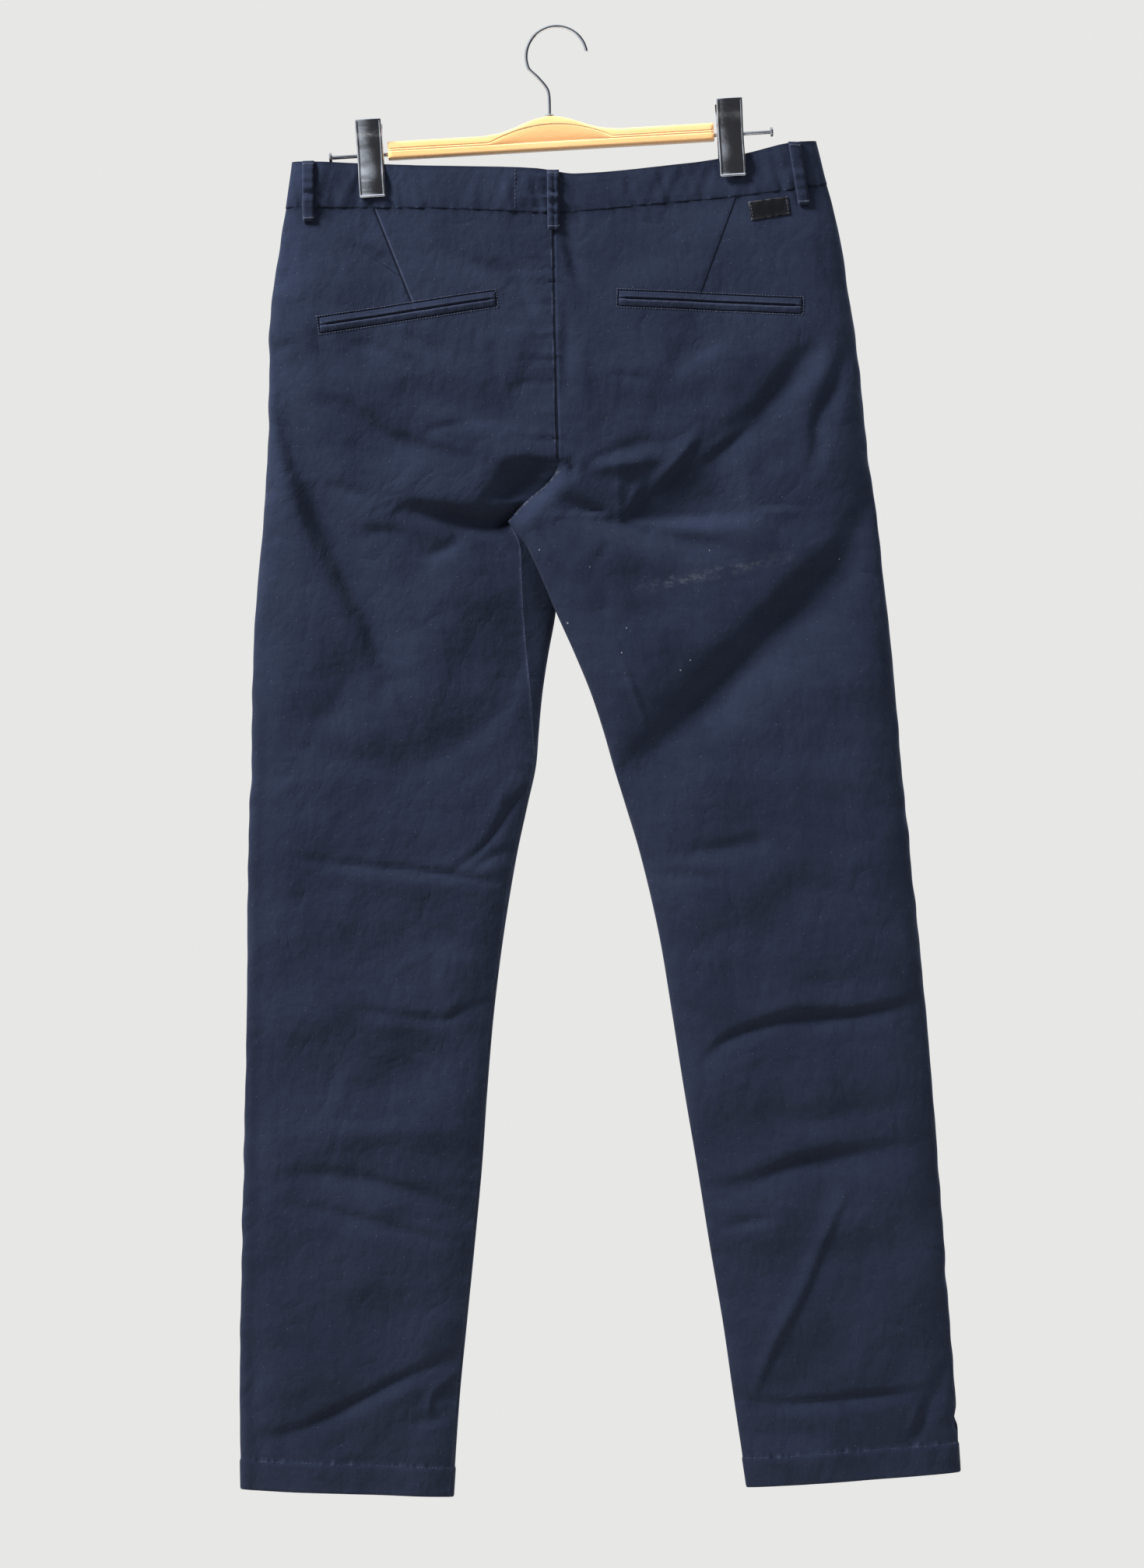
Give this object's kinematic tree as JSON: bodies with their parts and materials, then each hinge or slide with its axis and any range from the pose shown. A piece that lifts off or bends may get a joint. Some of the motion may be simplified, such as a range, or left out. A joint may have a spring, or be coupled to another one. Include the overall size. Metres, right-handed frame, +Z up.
{
  "type": "chino trousers on a clip hanger",
  "caption": "Straight-leg cotton trousers with belt loops and jetted back pockets, hung flat by the waistband from a wooden bar hanger with metal clips.",
  "frame": {"origin": "inside top of the hanger's hook, where it rests on its rail", "axes": "+Z up along the hanging garment; the back of the trousers faces -Y and the front +Y; +X is the wearer's right"},
  "size_m": [0.5839, 0.0343, 1.1912],
  "materials": {
    "navy_twill": "washed cotton twill",
    "dark_button": "satin",
    "black_leather": "smooth matt",
    "beech": "clear lacquer",
    "chrome": "bright plating",
    "steel_rod": "drawn wire"
  },
  "bodies": {
    "root": {"back_left": "navy_twill", "front_left": "navy_twill", "waistband_left": "navy_twill", "pocket_welt_upper_left": "navy_twill", "pocket_welt_lower_left": "navy_twill", "pocket_edge_left": "navy_twill", "back_right": "navy_twill", "front_right": "navy_twill", "waistband_right": "navy_twill", "pocket_welt_upper_right": "navy_twill", "pocket_welt_lower_right": "navy_twill", "pocket_edge_right": "navy_twill", "belt_loop_left": "navy_twill", "belt_loop_centre": "navy_twill", "belt_loop_right": "navy_twill", "belt_loop_front_left": "navy_twill", "belt_loop_front_right": "navy_twill", "fly_placket": "navy_twill", "waist_patch": "black_leather", "waist_button": "dark_button", "hanger_bar": "beech", "hanger_hook": "chrome", "hook_collar": "chrome", "rod_end_left": "steel_rod", "clip_spring_left": "steel_rod", "clip_back_leaf_left": "chrome", "clip_front_leaf_left": "chrome", "rod_end_right": "steel_rod", "clip_spring_right": "steel_rod", "clip_back_leaf_right": "chrome", "clip_front_leaf_right": "chrome"}
  },
  "joints": []
}
